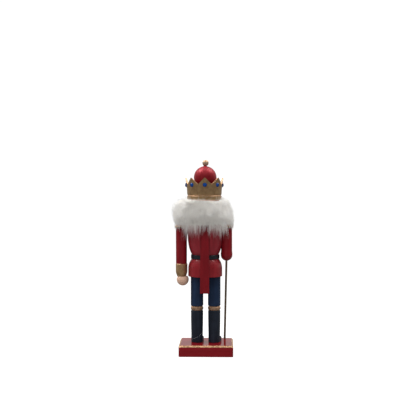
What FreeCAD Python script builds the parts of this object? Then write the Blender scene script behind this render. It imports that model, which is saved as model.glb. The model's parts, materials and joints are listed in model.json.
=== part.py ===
"""Turned wooden nutcracker king on a plinth, 355 mm tall, in millimetres.

The figure faces -Y and stands on the XY plane with its own left hand at +X. Its painted wooden
pieces are turned on a lathe about Z, joined with dowels and glue. One piece moves: the mouth lever,
which runs from the jaw back through a slot in the head and torso and hangs down the back like a
coat tail. Lifting its tail away from the back drops the jaw.
"""
import FreeCAD, Part
import math
import os

Vector = FreeCAD.Vector
X_AXIS, Y_AXIS, Z_AXIS = Vector(1, 0, 0), Vector(0, 1, 0), Vector(0, 0, 1)
FOLDER = "parts"
REACH = 120.0  # half the size of a cutting block, larger than the figure is wide

# ---- Driving dimensions ------------------------------------------------------------------------
BASE_WIDTH, BASE_DEPTH, BASE_HEIGHT = 98.6, 76.0, 20.0
BASE_X = -2.1  # the board reaches further on the staff's side
BASE_EDGE = 2.4  # the gilded chamfer round the top
BASE_CORNER = 3.5

BOOT_TOP, GARTER_TOP, HEM, WAIST, BELT_TOP = 79.2, 86.6, 142.0, 174.3, 181.8
SHOULDER, CROWN_SEAT, CROWN_FLOOR = 240.0, 283.0, 297.0
CROWN_BEAD, CROWN_MID, CROWN_VALLEY, CROWN_TIP, KNOB_CENTRE = 290.3, 308.0, 310.3, 322.6, 349.8

LEFT_LEG_X, RIGHT_LEG_X, LEG_R, BOOT_R = 15.1, -16.6, 11.6, 11.3
SKIRT_R, BELT_R, CHEST_R, HEAD_R = 31.4, 26.3, 33.0, 26.5

LEFT_ARM_X, RIGHT_ARM_X, ARM_R = 43.9, -39.4, 9.6
ARM_TOP, LEFT_CUFF_TOP, LEFT_CUFF_FOOT = 231.0, 164.9, 141.5
EPAULETTE_TOP, EPAULETTE_R = 238.0, 12.2
ELBOW_Z, ELBOW_R = 180.8, 10.7
FOREARM_REACH, RIGHT_CUFF_REACH = 14.0, 25.5  # forward of the arm's axis
HAND_R, HAND_SINK = 11.1, 6.2  # the hand's centre lies this far beyond the cuff's end

STAFF_R, STAFF_FOOT = 2.0, Vector(-35.7, -24.0, 12.0)
STAFF_ROD_LENGTH = 226.0
STAFF_HOLE_PLAY = 0.05

CROWN_POINTS, CROWN_WALL = 8, 3.2
CROWN_TURN, CROWN_X = 3.0, 1.5  # it is glued on 3 degrees and 1.5 mm off square
DOME_R, DOME_CENTRE, KNOB_R = 20.9, 323.3, 5.8
KNOB_X = -0.6  # the knob stands a little off the dome's top
GEM_R, GEM_HEIGHT, GEM_Z = 4.2, 2.6, 309.8

PIVOT = Vector(0, 0, 231.0)  # the lever turns about X through this point
PIN_R, PIN_PLAY = 1.5, 0.08
PIN_RIGHT_END, PIN_LEFT_END = -24.0, 31.0
MOUTH_Z = 250.5  # the roof of the slot, which is the mouth's line
LEVER_WIDTH, LEVER_TOP_WIDTH, LEVER_THICKNESS = 16.3, 15.2, 6.5
LEVER_FOOT, TAIL_TOP = 114.5, 225.0
TAIL_TOP_Y, TAIL_SLOPE = 33.0, 0.065  # the tail's outer face: its distance back at its top, and lean
SLOT_WIDTH, SLOT_FLOOR, SLOT_PLAY = 17.4, 219.0, 0.6

DOWEL_R, SMALL_DOWEL_R, SHOULDER_DOWEL_R, CROWN_DOWEL_R, SPINE_R = 3.5, 2.5, 3.0, 4.0, 6.0


# ---- Helpers -----------------------------------------------------------------------------------
def outline(start, *steps):
    """A closed face in the XZ plane. A step is a point (r, z), or (mid, end) for an arc."""
    edges, here = [], Vector(start[0], 0, start[1])
    for step in steps:
        if isinstance(step[0], tuple):
            mid = Vector(step[0][0], 0, step[0][1])
            end = Vector(step[1][0], 0, step[1][1])
            edges.append(Part.Arc(here, mid, end).toShape())
        else:
            end = Vector(step[0], 0, step[1])
            edges.append(Part.LineSegment(here, end).toShape())
        here = end
    first = Vector(start[0], 0, start[1])
    if here.distanceToPoint(first) > 1e-6:
        edges.append(Part.LineSegment(here, first).toShape())
    return Part.Face(Part.Wire(edges))


def turned(start, *steps):
    """A solid turned about Z from an outline of (radius, height) steps."""
    return outline(start, *steps).revolve(Vector(), Z_AXIS, 360)


def side_cut(points, width):
    """A prism of that width centred on X = 0, from a side outline of (y, z) points."""
    corners = [Vector(-width / 2, y, z) for y, z in points]
    wire = Part.makePolygon(corners + corners[:1])
    return Part.Face(wire).extrude(Vector(width, 0, 0))


def rod(radius, start, end):
    """A straight round rod from one point to another."""
    along = end - start
    return Part.makeCylinder(radius, along.Length, start, along)


def block(low, high):
    """A box between two corners."""
    size = Vector(*high) - Vector(*low)
    return Part.makeBox(size.x, size.y, size.z, Vector(*low))


def moved(shape, x=0.0, y=0.0, z=0.0):
    copy = shape.copy()
    copy.translate(Vector(x, y, z))
    return copy


def rotated(shape, centre, axis, angle):
    copy = shape.copy()
    copy.rotate(centre, axis, angle)
    return copy


def forward(shape, x, z):
    """Lays a piece turned about Z down so that +Z points ahead, along -Y, at that x and z."""
    return moved(rotated(shape, Vector(), X_AXIS, 90), x=x, z=z)


def group(solids):
    return Part.makeCompound(solids)


def save(name, shape):
    solids = shape.Solids
    assert solids and all(s.isValid() and s.Volume > 0 for s in solids), name
    body = solids[0] if len(solids) == 1 else group(solids)
    body.exportStep(os.path.join(FOLDER, name + ".step"))
    print(f"{name:22s} {len(solids)} solid(s) {sum(s.Volume for s in solids) / 1000:8.2f} cm3")


# ---- Dowels, which other pieces are bored for ------------------------------------------------------
def leg_dowels():
    foot, top = BASE_HEIGHT - 12, HEM + 16
    return [rod(DOWEL_R, Vector(x, 0, foot), Vector(x, 0, top)) for x in (LEFT_LEG_X, RIGHT_LEG_X)]


def spine_dowel():
    foot, top = WAIST - 14.3, BELT_TOP + 23.2
    return rod(SPINE_R, Vector(0, 0, foot), Vector(0, 0, top))


def shoulder_dowels():
    """Each runs from inside the torso to near the middle of its arm."""
    height = ARM_TOP - 9
    spans = ((LEFT_ARM_X - 20, LEFT_ARM_X - 2), (RIGHT_ARM_X + 18, RIGHT_ARM_X + 2))
    return [rod(SHOULDER_DOWEL_R, Vector(a, 0, height), Vector(b, 0, height)) for a, b in spans]


def neck_dowels():
    side, back = 17.0, 10.0
    return [
        rod(SMALL_DOWEL_R, Vector(x, back, SHOULDER - 11), Vector(x, back, SHOULDER + 11))
        for x in (side, -side)
    ]


def crown_dowel():
    return rod(CROWN_DOWEL_R, Vector(0, 0, CROWN_SEAT - 11), Vector(0, 0, CROWN_SEAT + 10))


def lever_pin():
    return rod(PIN_R, Vector(PIN_RIGHT_END, 0, PIVOT.z), Vector(PIN_LEFT_END, 0, PIVOT.z))


def bored(shape, holes):
    for hole in holes:
        shape = shape.cut(hole)
    return shape


# ---- Staff ---------------------------------------------------------------------------------------
def hand_centre():
    return Vector(RIGHT_ARM_X, -(RIGHT_CUFF_REACH + HAND_SINK), ELBOW_Z)


def staff_direction():
    along = hand_centre() - STAFF_FOOT
    return along.normalize()


def staff_rod(radius=STAFF_R):
    return Part.makeCylinder(radius, STAFF_ROD_LENGTH, STAFF_FOOT, staff_direction())


def staff_finial():
    """A gilt collar, ball and tip, turned in one and bored to sit on the rod's end."""
    peg, neck_r, ball_r, waist_r, tip_r, flat_r = 6.0, 3.2, 6.0, 2.4, 2.2, 0.6
    ball_z = math.sqrt(ball_r ** 2 - neck_r ** 2)
    ball_top = ball_z + math.sqrt(ball_r ** 2 - waist_r ** 2)
    tip_z = ball_top + 1.9
    top = tip_z + math.sqrt(tip_r ** 2 - flat_r ** 2)
    slope = math.radians(45)
    shape = turned(
        (0, -peg),
        (3.4, -peg),
        ((4.1, -peg + 1.4), (3.4, -peg + 2.8)),
        ((2.9, -peg + 4.4), (neck_r, 0)),
        ((ball_r, ball_z), (waist_r, ball_top)),
        ((1.9, ball_top + 0.9), (tip_r, tip_z)),
        ((tip_r * math.cos(slope), tip_z + tip_r * math.sin(slope)), (flat_r, top)),
        (0, top),
    )
    shape = shape.cut(Part.makeCylinder(STAFF_R + STAFF_HOLE_PLAY, peg, Vector(0, 0, -peg)))
    end = STAFF_FOOT + staff_direction() * STAFF_ROD_LENGTH
    shape.Placement = FreeCAD.Placement(end, FreeCAD.Rotation(Z_AXIS, staff_direction()))
    return shape


# ---- Plinth, boots and legs ----------------------------------------------------------------------
def base_plinth():
    low = (BASE_X - BASE_WIDTH / 2, -BASE_DEPTH / 2, 0)
    shape = block(low, (BASE_X + BASE_WIDTH / 2, BASE_DEPTH / 2, BASE_HEIGHT))
    upright = [e for e in shape.Edges if abs(e.tangentAt(e.FirstParameter).z) > 0.99]
    shape = shape.makeFillet(BASE_CORNER, upright)
    rim = [e for e in shape.Edges if all(abs(v.Z - BASE_HEIGHT) < 1e-6 for v in e.Vertexes)]
    shape = shape.makeChamfer(BASE_EDGE, rim)
    return bored(shape, leg_dowels() + [staff_rod(STAFF_R + STAFF_HOLE_PLAY)])


def boot():
    foot = BASE_HEIGHT
    return turned(
        (0, foot),
        (BOOT_R - 1.2, foot),
        ((BOOT_R - 0.8, foot + 0.3), (BOOT_R - 0.6, foot + 1.0)),
        (BOOT_R - 0.6, foot + 16),
        ((BOOT_R - 0.2, foot + 36), (BOOT_R, BOOT_TOP - 3)),
        ((BOOT_R - 0.3, BOOT_TOP - 1), (BOOT_R - 1.5, BOOT_TOP)),
        (0, BOOT_TOP),
    )


def shoe_toe(turn):
    """The rounded shoe front: a flat-soled block with an arched instep, hollowed round the boot."""
    length, radius, tall = 15.5, 9.6, 16.0
    arch_r, arch_y, arch_drop = 17.0, -10.0, 7.5
    plan = block((-radius, -length, BASE_HEIGHT), (radius, 0, BASE_HEIGHT + tall))
    plan = plan.fuse(Part.makeCylinder(radius, tall, Vector(0, -length, BASE_HEIGHT))).removeSplitter()
    arch = Part.makeCylinder(arch_r, 60, Vector(-30, arch_y, BASE_HEIGHT - arch_drop), X_AXIS)
    shape = plan.common(arch).removeSplitter()
    crest = [e for e in shape.Edges if e.CenterOfMass.z > BASE_HEIGHT + 4 and e.CenterOfMass.y < -1]
    shape = shape.makeFillet(2.5, crest)
    return rotated(shape, Vector(), Z_AXIS, turn).cut(boot())


def garter():
    middle = (BOOT_TOP + GARTER_TOP) / 2
    return turned(
        (0, BOOT_TOP), (10.2, BOOT_TOP), ((11.8, middle), (10.2, GARTER_TOP)), (0, GARTER_TOP)
    )


def trouser_leg():
    return turned(
        (0, GARTER_TOP),
        (LEG_R - 1.9, GARTER_TOP),
        ((LEG_R - 0.5, GARTER_TOP + 1.0), (LEG_R, GARTER_TOP + 3.4)),
        (LEG_R, HEM),
        (0, HEM),
    )


def legs():
    """Boot, shoe toe, garter and trouser leg of each side. Both toes turn a little to the right."""
    pieces = {}
    for side, x, turn in (("left", LEFT_LEG_X, -9.0), ("right", RIGHT_LEG_X, -14.0)):
        pieces[side + "_boot"] = bored(moved(boot(), x=x), leg_dowels())
        pieces[side + "_shoe_toe"] = moved(shoe_toe(turn), x=x)
        pieces[side + "_garter"] = bored(moved(garter(), x=x), leg_dowels())
        pieces[side + "_trouser_leg"] = bored(moved(trouser_leg(), x=x), leg_dowels())
    return pieces


# ---- Coat, belt and torso ------------------------------------------------------------------------
def lever_back(z):
    """How far behind the axis the lever's outer face lies at height z."""
    return TAIL_TOP_Y + TAIL_SLOPE * (TAIL_TOP - z)


def slot_back(z):
    """Where the slot's wall stands at height z, just clear of the tail's inner face."""
    return lever_back(z) - LEVER_THICKNESS - SLOT_PLAY


def tail_groove():
    """The groove that the lever's tail lies in, cut into the back of the torso and skirt."""
    low, high = HEM - 1, SLOT_FLOOR + 1
    return side_cut([(slot_back(high), high), (slot_back(low), low), (REACH, low), (REACH, high)], SLOT_WIDTH)


def coat_skirt():
    shape = turned(
        (0, HEM),
        (SKIRT_R - 1.0, HEM),
        ((SKIRT_R - 0.3, HEM + 0.3), (SKIRT_R, HEM + 1.0)),
        (SKIRT_R - 0.2, HEM + 15),
        ((SKIRT_R - 1.9, HEM + 24), (SKIRT_R - 6.8, WAIST)),
        (0, WAIST),
    )
    return bored(shape, leg_dowels() + [spine_dowel(), tail_groove()])


def belt():
    edge = 0.7
    shape = turned(
        (0, WAIST),
        (BELT_R - edge, WAIST),
        ((BELT_R - 0.2, WAIST + 0.2), (BELT_R, WAIST + edge)),
        (BELT_R, BELT_TOP - edge),
        ((BELT_R - 0.2, BELT_TOP - 0.2), (BELT_R - edge, BELT_TOP)),
        (0, BELT_TOP),
    )
    return shape.cut(spine_dowel())


def belt_buckle():
    """A rectangular gilt frame bent round the front of the belt."""
    thick, frame = 1.6, 2.6
    middle, half_wide, half_high = (WAIST + BELT_TOP) / 2, 8.5, 5.6
    shell = Part.makeCylinder(BELT_R + thick, 2 * half_high, Vector(0, 0, middle - half_high))
    shell = shell.cut(Part.makeCylinder(BELT_R, 20, Vector(0, 0, middle - 10)))
    window = block(
        (-half_wide + frame, -REACH, middle - half_high + frame),
        (half_wide - frame, 0, middle + half_high - frame),
    )
    front = block((-half_wide, -REACH, middle - 10), (half_wide, 0, middle + 10))
    return shell.common(front).cut(window)


def torso_blank():
    return turned(
        (0, BELT_TOP),
        (24.6, BELT_TOP),
        ((27.9, BELT_TOP + 7.4), (30.8, BELT_TOP + 19.2)),
        ((CHEST_R - 0.5, BELT_TOP + 34), (CHEST_R, BELT_TOP + 46)),
        ((31.6, SHOULDER - 4.4), (27.4, SHOULDER)),
        (0, SHOULDER),
    )


def torso():
    slot = block((-SLOT_WIDTH / 2, -REACH, SLOT_FLOOR), (SLOT_WIDTH / 2, REACH, SHOULDER + 5))
    pin_hole = rod(PIN_R, Vector(PIN_RIGHT_END, 0, PIVOT.z), Vector(REACH, 0, PIVOT.z))
    holes = [slot, tail_groove(), pin_hole, spine_dowel()] + shoulder_dowels() + neck_dowels()
    return bored(torso_blank(), holes)


def coat_buttons():
    """Two columns of domed gilt buttons down the chest, bedded on its surface."""
    button = turned((0, -1.5), (2.3, -1.5), (2.3, 0.3), ((1.6, 1.2), (0.5, 1.6)), (0, 1.6))
    solids = []
    for height, radius in ((188.0, 28.2), (196.0, 30.2), (204.0, 31.4)):
        for angle in (-15.0, 15.0):
            one = moved(rotated(button, Vector(), X_AXIS, 90), y=-radius)
            one = moved(rotated(one, Vector(), Z_AXIS, angle), z=height)
            solids.append(one.cut(torso_blank()))
    return group(solids)


# ---- Head and face -------------------------------------------------------------------------------
def head_blank():
    return turned(
        (0, SHOULDER),
        (25.0, SHOULDER),
        ((HEAD_R - 0.3, SHOULDER + 2.4), (HEAD_R, SHOULDER + 8)),
        (HEAD_R, CROWN_SEAT - 8),
        (HEAD_R - 0.6, CROWN_SEAT),
        (0, CROWN_SEAT),
    )


def head():
    slot = block((-SLOT_WIDTH / 2, -REACH, SHOULDER - 5), (SLOT_WIDTH / 2, REACH, MOUTH_Z))
    return bored(head_blank().cut(slot), neck_dowels() + [crown_dowel()])


def nose():
    """A round-tipped peg that droops a little."""
    shape = turned((0, -4), (4.2, -4), (4.2, 0), ((4.9, 4.2), (3.4, 7.6)), ((2.2, 8.8), (0.8, 9.2)), (0, 9.2))
    shape = rotated(forward(shape, 0, 0), Vector(), X_AXIS, 14)
    return moved(shape, y=-HEAD_R + 0.6, z=262.5).cut(head_blank())


def moustache():
    """Two drooping lobes that meet under the nose."""
    lobes = None
    for side in (-1, 1):
        stretch = FreeCAD.Matrix()
        stretch.scale(Vector(9.6, 3.6, 2.9))
        lobe = Part.makeSphere(1.0).transformGeometry(stretch)
        lobe = rotated(lobe, Vector(), Y_AXIS, side * 12)
        lobe = rotated(lobe, Vector(), Z_AXIS, side * 17)
        lobe = moved(lobe, x=side * 8.2, y=-HEAD_R + 0.9, z=254.6)
        lobes = lobe if lobes is None else lobes.fuse(lobe)
    return lobes.cut(head_blank()).cut(nose())


# ---- Mouth lever and jaw -------------------------------------------------------------------------
def lever_bore():
    return rod(PIN_R + PIN_PLAY, Vector(-20, 0, PIVOT.z), Vector(20, 0, PIVOT.z))


JAW_BACK = -16.0  # the jaw block is glued to the lever's front end here
JAW_TOP = MOUTH_Z - 0.5
JAW_FOOT = 234.0


def mouth_lever():
    """One sawn board: an arm through the head, a shoulder and a tail that widens down the back."""
    side = [
        (JAW_BACK, JAW_TOP),
        (-2.0, JAW_TOP - 0.6),
        (12.0, 246.0),
        (24.0, 239.5),
        (30.8, 233.0),
        (TAIL_TOP_Y, TAIL_TOP),
        (lever_back(LEVER_FOOT), LEVER_FOOT),
        (lever_back(LEVER_FOOT) - LEVER_THICKNESS, LEVER_FOOT),
        (lever_back(221) - LEVER_THICKNESS, 221),
        (6.0, 221.0),
        (-6.0, 224.0),
        (JAW_BACK, JAW_FOOT - 2.0),
    ]
    shape = side_cut(side, LEVER_WIDTH)
    for turn in (1, -1):  # the tail tapers to its narrower top
        gone = (LEVER_WIDTH - LEVER_TOP_WIDTH) / 2
        corners = [
            Vector(turn * (LEVER_WIDTH / 2 - gone), 0, TAIL_TOP + REACH),
            Vector(turn * (LEVER_WIDTH / 2 - gone), 0, TAIL_TOP),
            Vector(turn * LEVER_WIDTH / 2, 0, LEVER_FOOT),
            Vector(turn * (LEVER_WIDTH / 2 + 5), 0, LEVER_FOOT),
            Vector(turn * (LEVER_WIDTH / 2 + 5), 0, TAIL_TOP + REACH),
        ]
        wedge = Part.Face(Part.makePolygon(corners + corners[:1])).extrude(Vector(0, 2 * REACH, 0))
        shape = shape.cut(moved(wedge, y=JAW_BACK - 1))
    foot = [e for e in shape.Edges if abs(e.CenterOfMass.z - LEVER_FOOT) < 0.01]
    shape = shape.makeFillet(0.8, foot)
    return shape.cut(lever_bore())


def jaw_block():
    """The lower jaw: its front is turned to the face's curve, and its top edge holds the teeth."""
    side = [
        (JAW_BACK, JAW_TOP),
        (-REACH, JAW_TOP),
        (-REACH, JAW_FOOT),
        (JAW_BACK, JAW_FOOT - 2.0),
    ]
    shape = side_cut(side, LEVER_TOP_WIDTH)
    return shape.common(Part.makeCylinder(HEAD_R, 60, Vector(0, 0, 210)))


# ---- Fur -----------------------------------------------------------------------------------------
def beard_fur():
    """The beard's pile, glued to the jaw's front and hanging clear of the chest as the jaw drops."""
    profile = outline(
        (30.2, 248.0),
        (31.6, 243.0),
        (34.2, 240.0),
        ((38.2, 230.0), (41.0, 219.5)),
        ((42.4, 212.5), (43.0, 206.0)),
        ((45.0, 202.6), (47.0, 206.0)),
        ((47.8, 217.0), (46.0, 229.0)),
        ((42.6, 239.5), (36.8, 246.0)),
        ((35.0, 247.6), (33.0, 248.0)),
    )
    half_angle = 38.0
    pile = rotated(profile.revolve(Vector(), Z_AXIS, 2 * half_angle), Vector(), Z_AXIS, -90 - half_angle)
    half_width = [(19, 249), (26, 240), (26, 228), (14, 205), (8, 201)]
    shield = [Vector(x, -REACH, z) for x, z in half_width]
    shield += [Vector(-x, -REACH, z) for x, z in reversed(half_width)]
    prism = Part.Face(Part.makePolygon(shield + shield[:1])).extrude(Vector(0, REACH, 0))
    root = block((-LEVER_TOP_WIDTH / 2, -34, 243.5), (LEVER_TOP_WIDTH / 2, 0, 247.0))
    root = root.cut(Part.makeCylinder(HEAD_R, 60, Vector(0, 0, 210)))
    return pile.common(prism).fuse(root).removeSplitter()


def hair_fur():
    """The fur wig: a thick pile round the back and sides of the head, open for the face."""
    inner, gap = HEAD_R + 0.3, 0.4
    profile = outline(
        (inner, CROWN_SEAT - gap),
        (31.0, CROWN_SEAT - gap),
        ((47.0, 274.0), (53.4, 256.0)),
        ((54.4, 243.0), (50.0, 232.5)),
        ((43.5, 227.8), (36.5, 228.4)),
        (CHEST_R + gap, 230.5),
        ((32.2, SHOULDER - 3.4), (28.0, SHOULDER + gap)),
        (inner, SHOULDER + gap),
    )
    open_half = 64.0  # degrees of bare face each side of the front
    pile = profile.revolve(Vector(), Z_AXIS, 360 - 2 * open_half)
    pile = rotated(pile, Vector(), Z_AXIS, -90 + open_half)
    arm_room = [
        Part.makeCylinder(EPAULETTE_R + gap, 60, Vector(x, 0, EPAULETTE_TOP + gap - 60))
        for x in (LEFT_ARM_X, RIGHT_ARM_X)
    ]
    lever_room = block((-SLOT_WIDTH / 2 - 1, 0, 200), (SLOT_WIDTH / 2 + 1, 39.0, MOUTH_Z + 1.5))
    return bored(pile, arm_room + [lever_room])


# ---- Crown ---------------------------------------------------------------------------------------
def crown_outer_r(z):
    """The crown wall flares outwards to its points."""
    rise = (z - CROWN_BEAD) / (CROWN_TIP - CROWN_BEAD)
    return 31.7 + 3.5 * rise ** 2


def crown():
    """A turned cup with a beaded foot, its rim sawn into points."""
    cup = turned(
        (0, CROWN_SEAT),
        (31.2, CROWN_SEAT),
        (31.7, CROWN_SEAT + 1.5),
        (31.7, CROWN_BEAD - 1.6),
        ((31.2, CROWN_BEAD - 0.5), (30.1, CROWN_BEAD)),
        ((31.1, CROWN_BEAD + 1.4), (crown_outer_r(CROWN_BEAD + 4), CROWN_BEAD + 4)),
        ((crown_outer_r(CROWN_MID), CROWN_MID), (crown_outer_r(CROWN_TIP), CROWN_TIP)),
        (crown_outer_r(CROWN_TIP) - CROWN_WALL, CROWN_TIP),
        ((crown_outer_r(CROWN_MID) - CROWN_WALL, CROWN_MID), (28.2, CROWN_FLOOR)),
        (0, CROWN_FLOOR),
    )
    pitch = 360.0 / CROWN_POINTS
    tip_half = 1.5
    half_gap = crown_outer_r(CROWN_TIP) * math.tan(math.radians(pitch / 2)) - tip_half
    notch = Part.Face(
        Part.makePolygon(
            [
                Vector(0, 0, CROWN_VALLEY),
                Vector(0, half_gap, CROWN_TIP),
                Vector(0, half_gap, CROWN_TIP + 2),
                Vector(0, -half_gap, CROWN_TIP + 2),
                Vector(0, -half_gap, CROWN_TIP),
                Vector(0, 0, CROWN_VALLEY),
            ]
        )
    ).extrude(Vector(60, 0, 0))
    for i in range(CROWN_POINTS):
        cup = cup.cut(rotated(notch, Vector(), Z_AXIS, 90 + CROWN_TURN + pitch * (i + 0.5)))
    return moved(cup, x=CROWN_X).cut(crown_dowel())


def crown_gems():
    """One faceted flat-backed stone on each point, seated on the flared wall."""
    sides = 8
    crown_r, table_r = 0.78 * GEM_R, 0.48 * GEM_R
    rings = [(-1.4, GEM_R), (0.5, GEM_R), (1.7, crown_r), (GEM_HEIGHT, table_r)]
    wires = []
    for z, r in rings:
        points = [
            Vector(r * math.cos(2 * math.pi * k / sides), r * math.sin(2 * math.pi * k / sides), z)
            for k in range(sides)
        ]
        wires.append(Part.makePolygon(points + points[:1]))
    stone = Part.makeLoft(wires, True, True)
    lean = math.degrees(math.atan2(crown_outer_r(GEM_Z + 2) - crown_outer_r(GEM_Z - 2), 4.0))
    stone = rotated(forward(stone, 0, 0), Vector(), X_AXIS, -lean)
    stone = moved(stone, y=-crown_outer_r(GEM_Z) + 0.25, z=GEM_Z)
    wall = turned(
        (0, CROWN_FLOOR),
        (crown_outer_r(CROWN_FLOOR), CROWN_FLOOR),
        ((crown_outer_r(CROWN_MID), CROWN_MID), (crown_outer_r(CROWN_TIP), CROWN_TIP)),
        (0, CROWN_TIP),
    )
    stone = stone.cut(wall)
    return group(
        [
            moved(rotated(stone, Vector(), Z_AXIS, CROWN_TURN + 360.0 / CROWN_POINTS * i), x=CROWN_X)
            for i in range(CROWN_POINTS)
        ]
    )


def knob_peg():
    return Part.makeCylinder(1.6, 12, Vector(KNOB_X, 0, KNOB_CENTRE - 16))


def crown_dome():
    """The red ball on its collar, with a short neck for the knob."""
    collar_r, neck_r = 16.0, 3.5
    ball_foot = DOME_CENTRE - math.sqrt(DOME_R ** 2 - collar_r ** 2)
    neck_foot = DOME_CENTRE + math.sqrt(DOME_R ** 2 - neck_r ** 2)
    neck_top = KNOB_CENTRE - 4.3
    shape = turned(
        (0, CROWN_FLOOR),
        (collar_r, CROWN_FLOOR),
        (collar_r, ball_foot),
        ((DOME_R, DOME_CENTRE), (neck_r, neck_foot)),
        ((neck_r - 0.5, (neck_foot + neck_top) / 2), (neck_r - 0.3, neck_top)),
        (0, neck_top),
    )
    return shape.cut(knob_peg())


def crown_knob():
    ball = Part.makeSphere(KNOB_R, Vector(KNOB_X, 0, KNOB_CENTRE))
    ball = ball.cut(block((-10, -10, KNOB_CENTRE - 10), (10, 10, KNOB_CENTRE - 4.3)))
    return ball.fuse(knob_peg()).removeSplitter()


# ---- Arms ----------------------------------------------------------------------------------------
def cuff(length):
    """A turned cuff from its open end at z = 0 down to the wrist at z = length."""
    return turned(
        (0, 0),
        (10.3, 0),
        ((10.8, 0.6), (10.8, 1.4)),
        (10.7, length * 0.5),
        ((9.9, length * 0.8), (8.5, length - 1.6)),
        ((8.6, length - 0.8), (8.1, length)),
        (0, length),
    )


def hand(length):
    """A ball hand, flattened where it meets the cuff's end at z = length."""
    ball = Part.makeSphere(HAND_R, Vector(0, 0, length + HAND_SINK))
    return ball.cut(block((-20, -20, length - 20), (20, 20, length)))


def left_arm():
    """The straight arm: sleeve, cuff and hand hang from the shoulder."""
    length = LEFT_CUFF_TOP - LEFT_CUFF_FOOT
    sleeve = turned(
        (0, LEFT_CUFF_TOP),
        (ARM_R + 0.2, LEFT_CUFF_TOP),
        (ARM_R + 0.5, LEFT_CUFF_TOP + 1),
        (ARM_R + 0.6, 205),
        (ARM_R + 0.7, ARM_TOP),
        (0, ARM_TOP),
    )

    def hung(shape, inset=0.0):
        shape = rotated(shape, Vector(), X_AXIS, 180)
        return moved(shape, x=LEFT_ARM_X - inset, z=LEFT_CUFF_TOP)

    return {
        "left_sleeve": bored(moved(sleeve, x=LEFT_ARM_X), shoulder_dowels() + [torso_blank()]),
        "left_cuff": hung(cuff(length), inset=0.3),
        "left_hand": hung(hand(length), inset=2.4),
    }


def right_arm():
    """The bent arm: its elbow is round, the forearm points ahead and the hand is bored for the staff."""
    slope = math.radians(45)
    upper = turned(
        (0, ELBOW_Z - ELBOW_R + 0.1),
        (1.5, ELBOW_Z - ELBOW_R + 0.1),
        ((ELBOW_R * math.cos(slope), ELBOW_Z - ELBOW_R * math.sin(slope)), (ELBOW_R, ELBOW_Z)),
        (ARM_R + 0.6, ELBOW_Z + 8),
        (ARM_R + 0.5, ARM_TOP),
        (0, ARM_TOP),
    )
    upper = moved(upper, x=RIGHT_ARM_X)
    forearm = forward(Part.makeCylinder(ELBOW_R - 0.3, FOREARM_REACH), RIGHT_ARM_X, ELBOW_Z)
    length = RIGHT_CUFF_REACH - FOREARM_REACH

    def laid(shape):
        return moved(forward(shape, RIGHT_ARM_X, ELBOW_Z), y=-FOREARM_REACH)

    return {
        "right_upper_sleeve": bored(upper, shoulder_dowels() + [torso_blank()]),
        "right_forearm": forearm.cut(upper),
        "right_cuff": laid(cuff(length)),
        "right_hand": laid(hand(length)).cut(staff_rod(STAFF_R + STAFF_HOLE_PLAY)),
    }


def epaulette(x):
    """A flat-domed gilt shoulder cap on the top of a sleeve."""
    shape = turned(
        (0, ARM_TOP),
        (EPAULETTE_R - 0.8, ARM_TOP),
        ((EPAULETTE_R, ARM_TOP + 1.4), (EPAULETTE_R - 0.9, ARM_TOP + 2.8)),
        ((EPAULETTE_R - 5.0, EPAULETTE_TOP - 1.0), (1.5, EPAULETTE_TOP)),
        (0, EPAULETTE_TOP),
    )
    return moved(shape, x=x).cut(torso_blank())


# ---- Assembly ------------------------------------------------------------------------------------
def main():
    os.makedirs(FOLDER, exist_ok=True)
    left, right = left_arm(), right_arm()
    caps = {"left_epaulette": epaulette(LEFT_ARM_X), "right_epaulette": epaulette(RIGHT_ARM_X)}
    pieces = {
        "base_plinth": base_plinth(),
        "leg_dowels": group(leg_dowels()),
        "coat_skirt": coat_skirt(),
        "belt": belt(),
        "belt_buckle": belt_buckle(),
        "spine_dowel": spine_dowel(),
        "torso": torso(),
        "coat_buttons": coat_buttons(),
        "shoulder_dowels": group(shoulder_dowels()),
        "neck_dowels": group(neck_dowels()),
        "head": head(),
        "nose": nose(),
        "moustache": moustache(),
        "lever_pin": lever_pin(),
        "mouth_lever": mouth_lever(),
        "jaw_block": jaw_block(),
        "beard_fur": beard_fur(),
        "hair_fur": hair_fur(),
        "crown_dowel": crown_dowel(),
        "crown": crown(),
        "crown_gems": crown_gems(),
        "crown_dome": crown_dome(),
        "crown_knob": crown_knob(),
        "staff_rod": staff_rod(),
        "staff_finial": staff_finial(),
    }
    for more in (legs(), left, right, caps):
        pieces.update(more)
    for name, shape in pieces.items():
        save(name, shape)


main()
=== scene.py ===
"""Looks of the turned wooden nutcracker king: paint, gilding, stones, face and fur, around the CAD model.

Lengths are in metres in the model's own frame: +Z up, the figure faces -Y, its left hand is at +X.
The wig's outlines and the marks on the face are in millimetres, where their comments say so.
"""

import json
import math

import bmesh
import bpy
import numpy as np
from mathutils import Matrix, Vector, noise
from mathutils.kdtree import KDTree


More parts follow.
